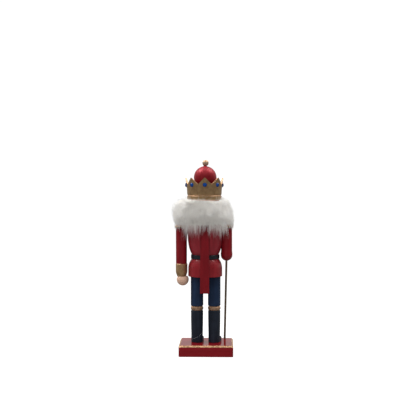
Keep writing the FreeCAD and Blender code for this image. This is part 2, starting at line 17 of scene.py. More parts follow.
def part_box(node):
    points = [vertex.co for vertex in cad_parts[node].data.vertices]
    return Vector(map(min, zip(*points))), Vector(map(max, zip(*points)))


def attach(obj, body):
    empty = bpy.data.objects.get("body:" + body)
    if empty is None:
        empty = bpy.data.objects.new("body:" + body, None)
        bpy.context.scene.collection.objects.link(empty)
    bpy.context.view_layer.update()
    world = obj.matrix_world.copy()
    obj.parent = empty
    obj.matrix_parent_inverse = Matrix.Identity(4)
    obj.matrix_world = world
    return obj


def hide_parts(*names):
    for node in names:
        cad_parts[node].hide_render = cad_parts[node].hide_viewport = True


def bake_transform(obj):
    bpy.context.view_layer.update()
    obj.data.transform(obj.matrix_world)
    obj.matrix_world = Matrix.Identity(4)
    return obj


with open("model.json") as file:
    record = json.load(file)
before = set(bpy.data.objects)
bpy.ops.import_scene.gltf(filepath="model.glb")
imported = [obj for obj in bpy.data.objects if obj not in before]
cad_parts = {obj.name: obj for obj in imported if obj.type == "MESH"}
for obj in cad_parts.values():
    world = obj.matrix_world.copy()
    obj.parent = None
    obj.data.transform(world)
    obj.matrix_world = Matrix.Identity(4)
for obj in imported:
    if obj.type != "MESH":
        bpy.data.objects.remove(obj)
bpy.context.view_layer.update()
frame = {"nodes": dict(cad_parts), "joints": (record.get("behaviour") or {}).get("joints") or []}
NODES = frame["nodes"]

MM = 0.001
BODY, MOUTH = "figure", "mouth"
RNG = np.random.default_rng(11)
noise.seed_set(2)  # without it the noise starts from the clock, and the hair changes at every run

# ---- Places worked out from the CAD model --------------------------------------------------------
HEAD_LOW, HEAD_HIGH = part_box("head")
HEAD_R = (HEAD_HIGH.x - HEAD_LOW.x) / 2
SHOULDER_Z = HEAD_LOW.z
_, JAW_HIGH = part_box("jaw_block")
LEVER_LOW, LEVER_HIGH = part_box("mouth_lever")
PLINTH_LOW, PLINTH_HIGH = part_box("base_plinth")
CROWN_LOW, CROWN_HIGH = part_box("crown")
TORSO_LOW, TORSO_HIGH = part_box("torso")
CHEST_R = (TORSO_HIGH.x - TORSO_LOW.x) / 2
MOUTH_Z = JAW_HIGH.z
HINGE_HEIGHT = frame["joints"][0]["pos_m"][2]


# ---- Node helpers --------------------------------------------------------------------------------
def add(tree, kind, values=None, **settings):
    """A new shader node. values sets its sockets by name, and settings its own properties."""
    made = tree.nodes.new("ShaderNode" + kind)
    for key, value in settings.items():
        setattr(made, key, value)
    for key, value in (values or {}).items():
        made.inputs[key].default_value = value
    return made


def link(tree, source, target):
    tree.links.new(source, target)


def material(name, **values):
    """A Principled material. values are the sockets that stay the same all over, _ for a space."""
    made = bpy.data.materials.new(name)
    made.use_nodes = True
    shader = made.node_tree.nodes["Principled BSDF"]
    for key, value in values.items():
        shader.inputs[key.replace("_", " ")].default_value = value
    return made, made.node_tree, shader


def coordinates(tree, stretch=(1, 1, 1)):
    """Object coordinates in metres, scaled along each axis."""
    source = add(tree, "TexCoord").outputs["Object"]
    mapping = add(tree, "Mapping", {"Scale": stretch})
    link(tree, source, mapping.inputs["Vector"])
    return mapping.outputs["Vector"]


def noise_at(tree, place, scale, detail=3.0, roughness=0.55, distortion=0.0):
    sockets = {"Scale": scale, "Detail": detail, "Roughness": roughness, "Distortion": distortion}
    made = add(tree, "TexNoise", sockets)
    link(tree, place, made.inputs["Vector"])
    return made.outputs["Fac"]


def remap(tree, value, low, high, to_low=0.0, to_high=1.0):
    sockets = {"From Min": low, "From Max": high, "To Min": to_low, "To Max": to_high}
    made = add(tree, "MapRange", sockets, interpolation_type="SMOOTHSTEP")
    link(tree, value, made.inputs["Value"])
    return made.outputs["Result"]


def maths(tree, operation, a, b=0.0):
    made = add(tree, "Math", operation=operation)
    for socket, value in zip(made.inputs, (a, b)):
        if isinstance(value, (int, float)):
            socket.default_value = value
        else:
            link(tree, value, socket)
    return made.outputs["Value"]


def blend_colour(tree, amount, a, b):
    made = add(tree, "Mix", data_type="RGBA")
    link(tree, amount, made.inputs["Factor"])
    for socket, value in ((made.inputs[6], a), (made.inputs[7], b)):
        if isinstance(value, tuple):
            socket.default_value = (*value, 1.0)
        else:
            link(tree, value, socket)
    return made.outputs[2]


def bump(tree, shader, height, distance, strength=1.0):
    made = add(tree, "Bump", {"Distance": distance, "Strength": strength})
    link(tree, height, made.inputs["Height"])
    link(tree, made.outputs["Normal"], shader.inputs["Normal"])


# ---- Materials -----------------------------------------------------------------------------------
GRAIN_STRETCH = {"x": (0.06, 1, 1), "y": (1, 0.06, 1), "z": (1, 1, 0.06)}


def painted_wood(name, colour, deep, roughness, coat=0.35, grain="z", relief=0.05, metallic=0.0):
    """Brushed paint over turned wood: it pools and thins, and fine grain shows through as relief."""
    made, tree, shader = material(
        name, Coat_Weight=coat, Coat_Roughness=roughness * 0.55, Specular_IOR_Level=0.2, Metallic=metallic
    )
    along = coordinates(tree, GRAIN_STRETCH[grain])
    grain_lines = noise_at(tree, along, 900, detail=4.0, distortion=0.3)
    strokes = noise_at(tree, along, 170, detail=2.0)
    pools = noise_at(tree, coordinates(tree), 60, detail=3.0)
    tone = maths(tree, "ADD", maths(tree, "MULTIPLY", strokes, 0.6), maths(tree, "MULTIPLY", pools, 0.4))
    base = blend_colour(tree, remap(tree, tone, 0.36, 0.64), deep, colour)
    link(tree, base, shader.inputs["Base Color"])
    link(tree, remap(tree, pools, 0.3, 0.7, roughness * 0.85, roughness * 1.2), shader.inputs["Roughness"])
    height = maths(tree, "ADD", grain_lines, maths(tree, "MULTIPLY", strokes, 0.8))
    bump(tree, shader, height, relief * MM, 0.7)
    return made


def gilding(name, colour, deep, roughness=0.42):
    """Brushed bronze-gold paint: flakes in the binder, streaks, and brown where it is thin. Faces turned
    upwards are painted a lighter gold, a painted highlight.
    """
    made, tree, shader = material(name, Metallic=0.62, Coat_Weight=0.15, Coat_Roughness=0.25)
    along = coordinates(tree, GRAIN_STRETCH["z"])
    streaks = noise_at(tree, along, 420, detail=4.0)
    patches = noise_at(tree, coordinates(tree), 130, detail=4.0, roughness=0.65)
    flakes = noise_at(tree, coordinates(tree), 5200, detail=1.0)
    tone = maths(tree, "ADD", maths(tree, "MULTIPLY", streaks, 0.25), maths(tree, "MULTIPLY", patches, 0.75))
    base = blend_colour(tree, remap(tree, tone, 0.38, 0.62), deep, colour)
    # Painted highlight: the more a face turns upwards, the more of the lighter gold it gets, as if lit from
    # above.
    split = add(tree, "SeparateXYZ")
    link(tree, add(tree, "NewGeometry").outputs["True Normal"], split.inputs["Vector"])
    thick = remap(tree, split.outputs["Z"], 0.15, 0.75, 0.0, 0.85)
    base = blend_colour(tree, thick, base, GOLD_BRIGHT)
    link(tree, base, shader.inputs["Base Color"])
    link(tree, remap(tree, tone, 0.3, 0.7, roughness * 1.25, roughness * 0.85), shader.inputs["Roughness"])
    height = maths(tree, "ADD", maths(tree, "MULTIPLY", streaks, 1.2), maths(tree, "MULTIPLY", flakes, 0.35))
    bump(tree, shader, height, 0.06 * MM, 0.8)
    return made


RED, RED_DEEP = (0.245, 0.009, 0.015), (0.195, 0.006, 0.011)
COAT_RED, COAT_DEEP = (0.335, 0.026, 0.038), (0.265, 0.019, 0.028)
SKIRT_RED, SKIRT_DEEP = (0.290, 0.019, 0.026), (0.230, 0.013, 0.019)
GOLD_BRIGHT = (0.690, 0.400, 0.225)  # a lighter gold: painted highlight on upward faces of the gilding, and a random tone in the plinth's gilded chamfer
GOLD, GOLD_DEEP = (0.330, 0.205, 0.105), (0.235, 0.140, 0.070)
NAVY, NAVY_DEEP = (0.016, 0.036, 0.085), (0.010, 0.022, 0.055)
BLACK, BLACK_DEEP = (0.019, 0.026, 0.041), (0.012, 0.016, 0.025)
SKIN, SKIN_DEEP = (0.820, 0.545, 0.405), (0.750, 0.475, 0.350)


def plinth_lacquer():
    """Red lacquer with a gilded chamfer, whose hand-painted edge wanders a little. Its top is painted a
    darker red, a painted shade.
    """
    made, tree, shader = material("plinth_lacquer", Specular_IOR_Level=0.22)
    place = coordinates(tree)
    waver = maths(tree, "MULTIPLY", maths(tree, "SUBTRACT", noise_at(tree, place, 90), 0.5), 1.4 * MM)
    split = add(tree, "SeparateXYZ")
    link(tree, place, split.inputs["Vector"])
    chamfer = 2.4 * MM
    middle, half = (PLINTH_HIGH + PLINTH_LOW) / 2, (PLINTH_HIGH - PLINTH_LOW) / 2
    beyond = []
    for axis in (0, 1):
        away = maths(tree, "ABSOLUTE", maths(tree, "SUBTRACT", split.outputs[axis], middle[axis]))
        beyond.append(maths(tree, "SUBTRACT", away, half[axis] - chamfer))
    outward = maths(tree, "ADD", maths(tree, "MAXIMUM", *beyond), waver)
    upward = maths(tree, "ADD", maths(tree, "SUBTRACT", split.outputs[2], PLINTH_HIGH.z - chamfer), waver)
    inset, soft = 0.35 * MM, 0.1 * MM
    edges = [remap(tree, reach, -inset - soft, -inset + soft) for reach in (outward, upward)]
    gilt = maths(tree, "MULTIPLY", *edges)
    strokes = noise_at(tree, coordinates(tree, GRAIN_STRETCH["x"]), 160, detail=3.0)
    red = blend_colour(tree, remap(tree, strokes, 0.35, 0.65), (0.235, 0.007, 0.012), (0.284, 0.009, 0.015))
    # Painted shade: faces turned upwards get a darker red, for the shade on the plinth's top.
    facing = add(tree, "SeparateXYZ")
    link(tree, add(tree, "NewGeometry").outputs["True Normal"], facing.inputs["Vector"])
    upper = remap(tree, facing.outputs["Z"], 0.4, 0.9, 0.0, 0.8)
    red = blend_colour(tree, upper, red, (0.175, 0.005, 0.008))
    gold = blend_colour(tree, remap(tree, noise_at(tree, place, 300), 0.35, 0.65), GOLD, GOLD_BRIGHT)
    link(tree, blend_colour(tree, gilt, red, gold), shader.inputs["Base Color"])
    link(tree, maths(tree, "MULTIPLY", gilt, 0.6), shader.inputs["Metallic"])
    link(tree, remap(tree, gilt, 0, 1, 0.10, 0.42), shader.inputs["Roughness"])
    grain = noise_at(tree, coordinates(tree, GRAIN_STRETCH["x"]), 900, detail=4.0)
    bump(tree, shader, maths(tree, "ADD", grain, maths(tree, "MULTIPLY", gilt, 2.0)), 0.05 * MM, 0.5)
    return made


def face_paint():
    """Skin-coloured paint with a soft blush on both cheeks."""
    made = painted_wood("face_paint", SKIN, SKIN_DEEP, 0.42, coat=0.25, relief=0.03)
    tree = made.node_tree
    shader = tree.nodes["Principled BSDF"]
    plain = shader.inputs["Base Color"].links[0].from_socket
    place = coordinates(tree)
    blush = None
    for side in (-1, 1):
        centre = (side * HEAD_R * 0.62, -HEAD_R * 0.80, MOUTH_Z + 5.5 * MM)
        away = add(tree, "VectorMath", {1: centre}, operation="DISTANCE")
        link(tree, place, away.inputs[0])
        spot = remap(tree, away.outputs["Value"], 2.0 * MM, 7.0 * MM, 0.62, 0.0)
        blush = spot if blush is None else maths(tree, "MAXIMUM", blush, spot)
    link(tree, blend_colour(tree, blush, plain, (0.70, 0.16, 0.12)), shader.inputs["Base Color"])
    return made


def fur(name, colour, glow):
    """Fine animal fur: it lets light through, and a faint glow stands for light scattered between hairs."""
    made, _, _ = material(
        name,
        Base_Color=(*colour, 1.0),
        Roughness=0.62,
        Specular_IOR_Level=0.3,
        Subsurface_Weight=1.0,
        Subsurface_Radius=(1.0, 0.95, 0.85),
        Subsurface_Scale=0.6 * MM,
        Emission_Color=(1.0, 0.975, 0.93, 1.0),
        Emission_Strength=glow,
    )
    return made


def cut_glass():
    """Foil-backed blue glass stones, deepest round their edges, with a painted reflection of the foil that is
    brightest where a stone faces the viewer.
    """
    made, tree, shader = material(
        "cut_glass",
        Metallic=0.1,
        Roughness=0.16,
        Specular_IOR_Level=0.2,
        Coat_Weight=0.1,
        Coat_Roughness=0.05,
    )
    # Painted reflection: the colour is lightest where the stone faces the viewer, for light thrown back by
    # the foil.
    facing = add(tree, "LayerWeight", {"Blend": 0.35})
    inner = remap(tree, facing.outputs["Facing"], 0.05, 0.45, 1.0, 0.0)
    depth = noise_at(tree, coordinates(tree), 700, detail=1.0)
    lit = maths(tree, "MULTIPLY", inner, remap(tree, depth, 0.3, 0.7, 0.5, 1.0))
    blue = blend_colour(tree, lit, (0.002, 0.008, 0.060), (0.010, 0.088, 0.40))
    link(tree, blue, shader.inputs["Base Color"])
    return made


def steel():
    made, tree, shader = material("steel", Metallic=1.0)
    lines = noise_at(tree, coordinates(tree, GRAIN_STRETCH["x"]), 2500, detail=2.0)
    link(tree, blend_colour(tree, lines, (0.42, 0.42, 0.44), (0.62, 0.62, 0.64)), shader.inputs["Base Color"])
    link(tree, remap(tree, lines, 0.3, 0.7, 0.25, 0.4), shader.inputs["Roughness"])
    return made


def raw_wood():
    made, tree, shader = material("raw_wood", Specular_IOR_Level=0.3)
    lines = noise_at(tree, coordinates(tree, GRAIN_STRETCH["z"]), 700, detail=5.0, distortion=0.8)
    colour = blend_colour(tree, remap(tree, lines, 0.35, 0.65), (0.42, 0.27, 0.15), (0.66, 0.47, 0.29))
    link(tree, colour, shader.inputs["Base Color"])
    link(tree, remap(tree, lines, 0.3, 0.7, 0.6, 0.8), shader.inputs["Roughness"])
    bump(tree, shader, lines, 0.05 * MM, 0.6)
    return made


def enamel(name, colour):
    """Thick glossy dots of face paint."""
    roughness = 0.25
    made, tree, shader = material(name, Coat_Weight=0.6, Coat_Roughness=0.1)
    tone = noise_at(tree, coordinates(tree), 900, detail=2.0)
    darker = tuple(c * 0.8 for c in colour)
    link(tree, blend_colour(tree, remap(tree, tone, 0.3, 0.7), darker, colour), shader.inputs["Base Color"])
    link(tree, remap(tree, tone, 0.3, 0.7, roughness, roughness * 1.5), shader.inputs["Roughness"])
    bump(tree, shader, tone, 0.02 * MM, 0.5)
    return made


def make_materials():
    return {
        "plinth": plinth_lacquer(),
        "red": painted_wood(
            "lever_lacquer", (0.226, 0.0065, 0.0125), (0.182, 0.005, 0.010), 0.40, coat=0.0, relief=0.07
        ),
        "dome": painted_wood(
            "dome_lacquer", (0.295, 0.015, 0.024), (0.250, 0.012, 0.019), 0.44,
            coat=0.12, relief=0.001, metallic=0.38,
        ),
        "coat": painted_wood("coat_paint", COAT_RED, COAT_DEEP, 0.33, coat=0.1),
        "skirt": painted_wood("skirt_paint", SKIRT_RED, SKIRT_DEEP, 0.33, coat=0.1),
        "coat_forearm": painted_wood("forearm_paint", COAT_RED, COAT_DEEP, 0.33, coat=0.1, grain="y"),
        "sleeve": painted_wood("sleeve_paint", RED, RED_DEEP, 0.33, coat=0.1),
        "navy": painted_wood("trouser_paint", NAVY, NAVY_DEEP, 0.42, coat=0.0),
        "black": painted_wood("boot_paint", BLACK, BLACK_DEEP, 0.45, coat=0.0, relief=0.07),
        "belt": painted_wood("belt_paint", (0.014, 0.018, 0.020), BLACK_DEEP, 0.35, grain="x"),
        "gold": gilding("gold_paint", GOLD, GOLD_DEEP),
        "cuff": gilding("cuff_gold", (0.520, 0.325, 0.162), (0.400, 0.242, 0.117)),
        "knob": gilding("knob_gold", (0.560, 0.430, 0.300), (0.480, 0.350, 0.235), 0.55),
        "garter": gilding("garter_gold", (0.54, 0.35, 0.23), (0.34, 0.20, 0.12), 0.5),
        "crown": gilding("crown_gold", (0.415, 0.265, 0.130), (0.310, 0.190, 0.090), 0.40),
        "staff": gilding("staff_gold", (0.24, 0.17, 0.105), (0.16, 0.11, 0.07), 0.45),
        "skin": painted_wood("hand_paint", SKIN, SKIN_DEEP, 0.42, coat=0.25, relief=0.05),
        "face": face_paint(),
        "fur": fur("white_fur", (0.95, 0.925, 0.870), 0.062),
        # The pile's fur is greyer than the top coat and has no glow: painted shade deep in the fur.
        "underfur": fur("underfur_painted_shade", (0.74, 0.72, 0.68), 0.0),
        "glass": cut_glass(),
        "steel": steel(),
        "wood": raw_wood(),
        "white": enamel("white_enamel", (0.80, 0.78, 0.72)),
        "brown": enamel("brown_enamel", (0.085, 0.038, 0.018)),
        "ink": enamel("ink_enamel", (0.012, 0.010, 0.010)),
        "lip": enamel("lip_enamel", (0.42, 0.075, 0.045)),
    }


CAD_FINISHES = {
    "plinth": ["base_plinth"],
    "black": ["left_boot", "right_boot", "left_shoe_toe", "right_shoe_toe"],
    "garter": ["left_garter", "right_garter"],
    "navy": ["left_trouser_leg", "right_trouser_leg"],
    "coat": ["torso"],
    "skirt": ["coat_skirt"],
    "coat_forearm": ["right_forearm"],
    "sleeve": ["left_sleeve", "right_upper_sleeve"],
    "belt": ["belt"],
    "red": ["mouth_lever"],
    "dome": ["crown_dome"],
    "gold": ["left_epaulette", "right_epaulette", "belt_buckle", "coat_buttons", "staff_finial"],
    "cuff": ["left_cuff", "right_cuff"],
    "knob": ["crown_knob"],
    "crown": ["crown"],
    "staff": ["staff_rod"],
    "skin": ["left_hand", "right_hand", "nose", "jaw_block"],
    "face": ["head"],
    "glass": ["crown_gems"],
    "steel": ["lever_pin"],
    "wood": ["leg_dowels", "spine_dowel", "shoulder_dowels", "neck_dowels", "crown_dowel"],
}


def finish_cad_nodes(looks):
    for key, names in CAD_FINISHES.items():
        for name in names:
            for slot in NODES[name].material_slots:
                slot.material = looks[key]


# ---- Mesh helpers --------------------------------------------------------------------------------
def mesh_piece(name, vertices, faces, look):
    data = bpy.data.meshes.new(name)
    data.from_pydata([tuple(v) for v in vertices], [], faces)
    data.polygons.foreach_set("use_smooth", [True] * len(data.polygons))
    data.materials.append(look)
    data.update()
    piece = bpy.data.objects.new(name, data)
    bpy.context.scene.collection.objects.link(piece)
    return piece


def ring_faces(rows, columns):
    """Quads of a tube whose vertices run column by column within each closed row."""
    faces = []
    for i in range(rows - 1):
        for j in range(columns):
            k = (j + 1) % columns
            faces.append((i * columns + j, i * columns + k, (i + 1) * columns + k, (i + 1) * columns + j))
    return faces


# ---- Fur -----------------------------------------------------------------------------------------
def unit(v):
    return v / np.maximum(np.linalg.norm(v, axis=-1, keepdims=True), 1e-9)


def smooth_step(x, low, high):
    t = np.clip((x - low) / (high - low), 0, 1)
    return t * t * (3 - 2 * t)


def wander(points, scale, seed):
    """Smooth vector noise at each point, so neighbouring hairs lean the same way."""
    shift = Vector((seed * 7.3, seed * 3.1, seed * 5.7))
    return np.array([noise.noise_vector(Vector(p) * scale + shift) for p in points])


def grow(roots, directions, lengths, steps, gravity, curl=0.12):
    """Strands as an (n, steps + 1, 3) array. Each bends down more and more towards its tip."""
    paths = [roots]
    heading = unit(directions)
    twist = RNG.normal(0, curl, roots.shape)
    for i in range(steps):
        paths.append(paths[-1] + heading * (lengths / steps)[:, None])
        pull = np.array([0, 0, -1.0]) * gravity * (0.4 + i / steps)
        heading = unit(heading + pull + twist * (i / steps))
    return np.stack(paths, axis=1)


def gather(paths, lock_count, hold):
    """Draws each strand towards the middle strand of its lock, more so at the tip."""
    count, points, _ = paths.shape
    leaders = RNG.choice(count, min(lock_count, count), replace=False)
    tree = KDTree(len(leaders))
    for i, leader in enumerate(leaders):
        tree.insert(paths[leader, 0], i)
    tree.balance()
    lock = np.array([leaders[tree.find(p)[1]] for p in paths[:, 0]])
    weight = (np.linspace(0, 1, points) ** 1.3)[None, :, None]
    strength = (hold * RNG.uniform(0.35, 1.0, count))[:, None, None]
    return paths + (paths[lock] - paths) * weight * strength


def strand_mesh(name, paths, thickness, look, sides=3):
    """Closed, tapering threads along the paths, in one mesh."""
    count, points, _ = paths.shape
    along = unit(np.gradient(paths, axis=1))
    across = unit(np.cross(along, unit(RNG.normal(0, 1, (count, 1, 3)))))
    other = np.cross(along, across)
    taper = 1 - 0.85 * np.linspace(0, 1, points) ** 1.6
    radius = (thickness / 2 * RNG.uniform(0.7, 1.25, count))[:, None] * taper[None, :]
    angle = np.arange(sides) * 2 * math.pi / sides
    spokes = across[:, :, None] * np.cos(angle)[:, None] + other[:, :, None] * np.sin(angle)[:, None]
    rings = paths[:, :, None] + spokes * radius[:, :, None, None]
    body = rings[:, :-1].reshape(count, -1, 3)
    vertices = np.concatenate([body, paths[:, -1:]], axis=1)
    size = vertices.shape[1]
    one = ring_faces(points - 1, sides)
    last = (points - 2) * sides
    tips = [(last + j, last + (j + 1) % sides, size - 1) for j in range(sides)]
    cap = [tuple(reversed(range(sides)))]
    faces = []
    for strand in range(count):
        shift = strand * size
        faces.extend(tuple(v + shift for v in face) for face in one + tips + cap)
    return mesh_piece(name, vertices.reshape(-1, 3).tolist(), faces, look)


# ---- The figure's shape, which fur lies on ------------------------------------------------------
SHOULDER_SLOPE_Z = 0.228  # the chest is widest here, and the shoulders slope in above
SHOULDER_TOP_R = 0.0274  # the torso's radius at the head
CHEST_TAPER = 0.06  # how much narrower the chest gets per metre towards the waist
EPAULETTE_FOOT_Z = 0.2295
SLEEVE_SHARE = 0.84  # a sleeve's radius as a part of its epaulette's
TAIL_TOP_Y, TAIL_TOP_Z = 0.033, 0.225  # the outer face of the lever's tail, at its top
TAIL_HAIR_Z = 0.238  # only hair below this height is pushed clear of the tail
LEVER_LIFT = math.radians(20.5)  # a little past the end of the lever's travel
LEVER_HALF = (LEVER_HIGH.x - LEVER_LOW.x) / 2


def arm_top(epaulette):
    """An epaulette's centre across, its radius and its top. Its arm hangs below it."""
    low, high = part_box(epaulette)
    outer = high.x if high.x > -low.x else low.x
    radius = (high.y - low.y) / 2
    return outer - math.copysign(radius, outer), radius, high.z


ARMS = [arm_top(name) for name in ("left_epaulette", "right_epaulette")]


def lever_face(z, lift):
    """The outer face of the lever's tail at height z, with the lever lifted by an angle."""
    y = np.array([TAIL_TOP_Y, LEVER_HIGH.y])
    up = np.array([TAIL_TOP_Z, LEVER_LOW.z]) - HINGE_HEIGHT
    turned_y = y * math.cos(lift) - up * math.sin(lift)
    turned_z = y * math.sin(lift) + up * math.cos(lift) + HINGE_HEIGHT
    down = (turned_z[0] - z) / (turned_z[0] - turned_z[1])
    return turned_y[0] + down * (turned_y[1] - turned_y[0])


def push_clear(paths, lift=LEVER_LIFT, gap=0.5 * MM):
    """Moves strand points that would be inside the torso, arms or lever out to their surface.

    Hair that stays with the figure keeps clear of the lever lifted; hair on the lever passes lift=0."""
    x, y, z = paths[..., 0], paths[..., 1], paths[..., 2]
    around = np.hypot(x, y)
    slope = np.clip((z - SHOULDER_SLOPE_Z) / (SHOULDER_Z - SHOULDER_SLOPE_Z), 0, 1) ** 2
    chest = np.where(
        z > SHOULDER_SLOPE_Z,
        CHEST_R - (CHEST_R - SHOULDER_TOP_R) * slope,
        CHEST_R - CHEST_TAPER * (SHOULDER_SLOPE_Z - z),
    )
    chest = np.where(z < SHOULDER_Z, chest + gap, HEAD_R + gap)
    push = np.where(around < chest, chest / np.maximum(around, 1e-6), 1.0)
    x, y = x * push, y * push
    for centre, radius, top in ARMS:
        dx = x - centre
        near = np.hypot(dx, y)
        limit = np.where(z > EPAULETTE_FOOT_Z, radius + gap, radius * SLEEVE_SHARE + gap)
        inside = (near < limit) & (z < top + gap)
        scale = np.where(inside, limit / np.maximum(near, 1e-6), 1.0)
        x, y = centre + dx * scale, y * scale
    over = (np.abs(x) < LEVER_HALF + gap) & (y > 0) & (z < TAIL_HAIR_Z)
    y = np.where(over, np.maximum(y, lever_face(z, lift) + gap), y)
    return np.stack([x, y, z], axis=-1)


# ---- Wig -----------------------------------------------------------------------------------------
WIG_FULL, WIG_HALF = math.radians(96), math.radians(116.5)  # how far round the full roll goes, and its tips
WIG_END = (WIG_HALF - WIG_FULL) * np.sin(np.linspace(0, math.pi / 2, 15))
# The angles of the wig's sections from the back, closer together where the ends round off.
WIG_ANGLES = np.concatenate(
    [-WIG_FULL - WIG_END[:0:-1], np.linspace(-WIG_FULL, WIG_FULL, 101), WIG_FULL + WIG_END[1:]]
)
# The pile's outer face from its top down, as (r, z) in millimetres: tucked in underneath at the back,
# hanging over the arms at the sides, and fuller on the left.
WIG_BACK = [(30.0, 280.3), (33.2, 280.0), (38.0, 277.3), (42.7, 271.8), (46.7, 264.6),
            (49.2, 256.5), (49.6, 250.0), (48.0, 244.0), (44.5, 239.5)]
WIG_LEFT = [(30.0, 280.6), (36.5, 280.8), (43.6, 278.0), (49.4, 272.0), (52.6, 264.6),
            (53.8, 256.5), (54.0, 249.0), (53.6, 242.8), (52.4, 239.2)]
WIG_RIGHT = [(30.0, 280.3), (32.8, 280.2), (36.6, 277.6), (40.2, 272.0), (43.2, 264.6),
             (46.0, 256.5), (48.2, 249.0), (49.6, 242.8), (49.0, 239.2)]
WIG_CORE = (30.5, 262.0)  # what the rounded ends of the pile shrink towards
WIG_INNER_R = 27.2  # the pile's face against the head, in millimetres
WIG_POINTS = 44  # round the outline at each angle
LEVER_SIDE = math.radians(18)  # how far either side of the back the pile makes room for the lever
COAT_HAIR, HALO_HAIR, TUFT_HAIR, WISP_HAIR = 0.24 * MM, 0.17 * MM, 0.15 * MM, 0.13 * MM  # thicknesses
STRAND_STEPS, WISP_STEPS = 6, 7  # the straight parts that one hair is made of


def resample(points, count):
    """Points evenly spaced along a smoothed open line."""
    line = np.array(points, dtype=float)
    for _ in range(3):
        cuts = [[a * 0.75 + b * 0.25, a * 0.25 + b * 0.75] for a, b in zip(line, line[1:])]
        line = np.concatenate([line[:1], *cuts, line[-1:]])
    run = np.concatenate([[0], np.cumsum(np.linalg.norm(np.diff(line, axis=0), axis=1))])
    at = np.linspace(0, run[-1], count)
    return np.stack([np.interp(at, run, line[:, i]) for i in (0, 1)], axis=-1)


def wig_foot(around):
    """The height of the pile's lower edge, in millimetres: over the shoulders it lies on the arms."""
    side = np.abs(around)
    return 238.0 + 1.5 * smooth_step(side, math.radians(20), math.radians(50))


def wig_section(around):
    """The closed outline of the pile at one angle from the back, as (r, z) in millimetres. Its first
    half is the outer face from the top down."""
    side = abs(around)
    foot = float(wig_foot(around))
    hung = float(smooth_step(side, math.radians(8), math.radians(58)))
    beside = WIG_LEFT if around > 0 else WIG_RIGHT
    edge = (43.0 + 4.0 * hung, foot)
    roof = list(np.array(WIG_BACK) * (1 - hung) + np.array(beside) * hung) + [edge]
    # Over the lever the pile is hollow higher and further out, so that the lever can lift.
    hollow_r, hollow_z = (40.6, 252.5) if side < LEVER_SIDE else (35.0, 242.5)
    under = [edge, (hollow_r, foot + 1.0), (hollow_r, hollow_z)]
    inner = WIG_INNER_R
    wall = [(inner + 0.2, hollow_z + 1.0), (inner, 262.0), (inner, 280.0), tuple(roof[0])]
    half = WIG_POINTS // 2
    shape = np.concatenate([resample(roof, half), resample(under + wall, half + 2)[1:-1]])
    end = math.sqrt(max(0.0, 1 - max(0.0, (side - WIG_FULL) / (WIG_HALF - WIG_FULL)) ** 2))
    return WIG_CORE + (shape - WIG_CORE) * (0.04 + 0.96 * end)


def wig_grid():
    sections = np.stack([wig_section(a) for a in WIG_ANGLES])
    r, z = sections[..., 0] * MM, sections[..., 1] * MM
    return np.stack([r * np.sin(WIG_ANGLES)[:, None], r * np.cos(WIG_ANGLES)[:, None], z], axis=-1)


def wig_pile(grid, look):
    """The dense underfur: a lumpy closed roll round the back and sides of the head."""
    rows, count, _ = grid.shape
    flat = grid.reshape(-1, 3).copy()
    outward = np.zeros_like(grid)
    outward[:, : count // 2] = 1.0
    flat += wander(flat, 120, 1) * MM * outward.reshape(-1, 3)
    faces = [tuple(reversed(f)) for f in ring_faces(rows, count)]
    faces.append(tuple(range(count)))
    faces.append(tuple(reversed(range((rows - 1) * count, rows * count))))
    return mesh_piece("wig_pile", flat.tolist(), faces, look)


def wig_roots(grid, count, around, down):
    """Random places on the pile's outer face, with the directions down it and out of it.

    around and down are ranges, in degrees from the back and from 0 at the top to 1 at the foot."""
    rows, columns, _ = grid.shape
    last = columns // 2 - 1
    u = np.interp(np.radians(RNG.uniform(*around, count)), WIG_ANGLES, np.arange(rows))
    v = RNG.uniform(*down, count) * last
    i, j = np.minimum(u.astype(int), rows - 2), np.minimum(v.astype(int), last - 1)
    fu, fv = (u - i)[:, None], (v - j)[:, None]
    here = (
        grid[i, j] * (1 - fu) * (1 - fv)
        + grid[i + 1, j] * fu * (1 - fv)
        + grid[i, j + 1] * (1 - fu) * fv
        + grid[i + 1, j + 1] * fu * fv
    )
    downwards = unit(grid[i, j + 1] - grid[i, j])
    sideways = unit(grid[i + 1, j] - grid[i, j])
    return here, downwards, unit(np.cross(sideways, downwards)), v / last


def wig_coat(name, grid, count, around, look):
    """The long top coat, combed out from the crown and down over the pile."""
    roots, downwards, outwards, drop = wig_roots(grid, count, around, (0.0, 1.0))
    lean = wander(roots, 42, 2) * 0.42 + wander(roots, 130, 3) * 0.30 + RNG.normal(0, 0.16, roots.shape)
    heading = outwards * (0.16 + 0.26 * smooth_step(drop, 0.05, 0.4))[:, None] + downwards * 0.80 + lean
    side = np.arctan2(np.abs(roots[:, 0]), roots[:, 1])
    trim = 12.8 - 2.5 * smooth_step(side, math.radians(50), math.radians(78))
    lengths = (RNG.uniform(12, 18, count) - trim * smooth_step(drop, 0.45, 0.95)) * MM
    lengths = np.maximum(lengths * (1 + 0.3 * wander(roots, 90, 4)[:, 0]), 2.0 * MM)
    paths = grow(roots - outwards * 0.8 * MM, heading, lengths, STRAND_STEPS, 0.10)
    paths = push_clear(gather(paths, count // 14, 0.35))
    return strand_mesh(name, paths, COAT_HAIR, look)


def wig_halo(name, grid, count, around, look):
    """Sparse flyaway hairs that soften the outline, a few of them over the crown's foot."""
    roots, downwards, outwards, drop = wig_roots(grid, count, around, (0.0, 0.95))
    heading = outwards * (0.35 + 0.5 * smooth_step(drop, 0.1, 0.5))[:, None] + downwards * 0.45
    heading += wander(roots, 120, 5) * 0.6
    heading += RNG.normal(0, 0.22, roots.shape)
    lengths = RNG.uniform(9, 16, count) * MM * (1 - 0.35 * drop)
    paths = push_clear(grow(roots, heading, lengths, STRAND_STEPS, 0.10, 0.2))
    return strand_mesh(name, paths, HALO_HAIR, look)


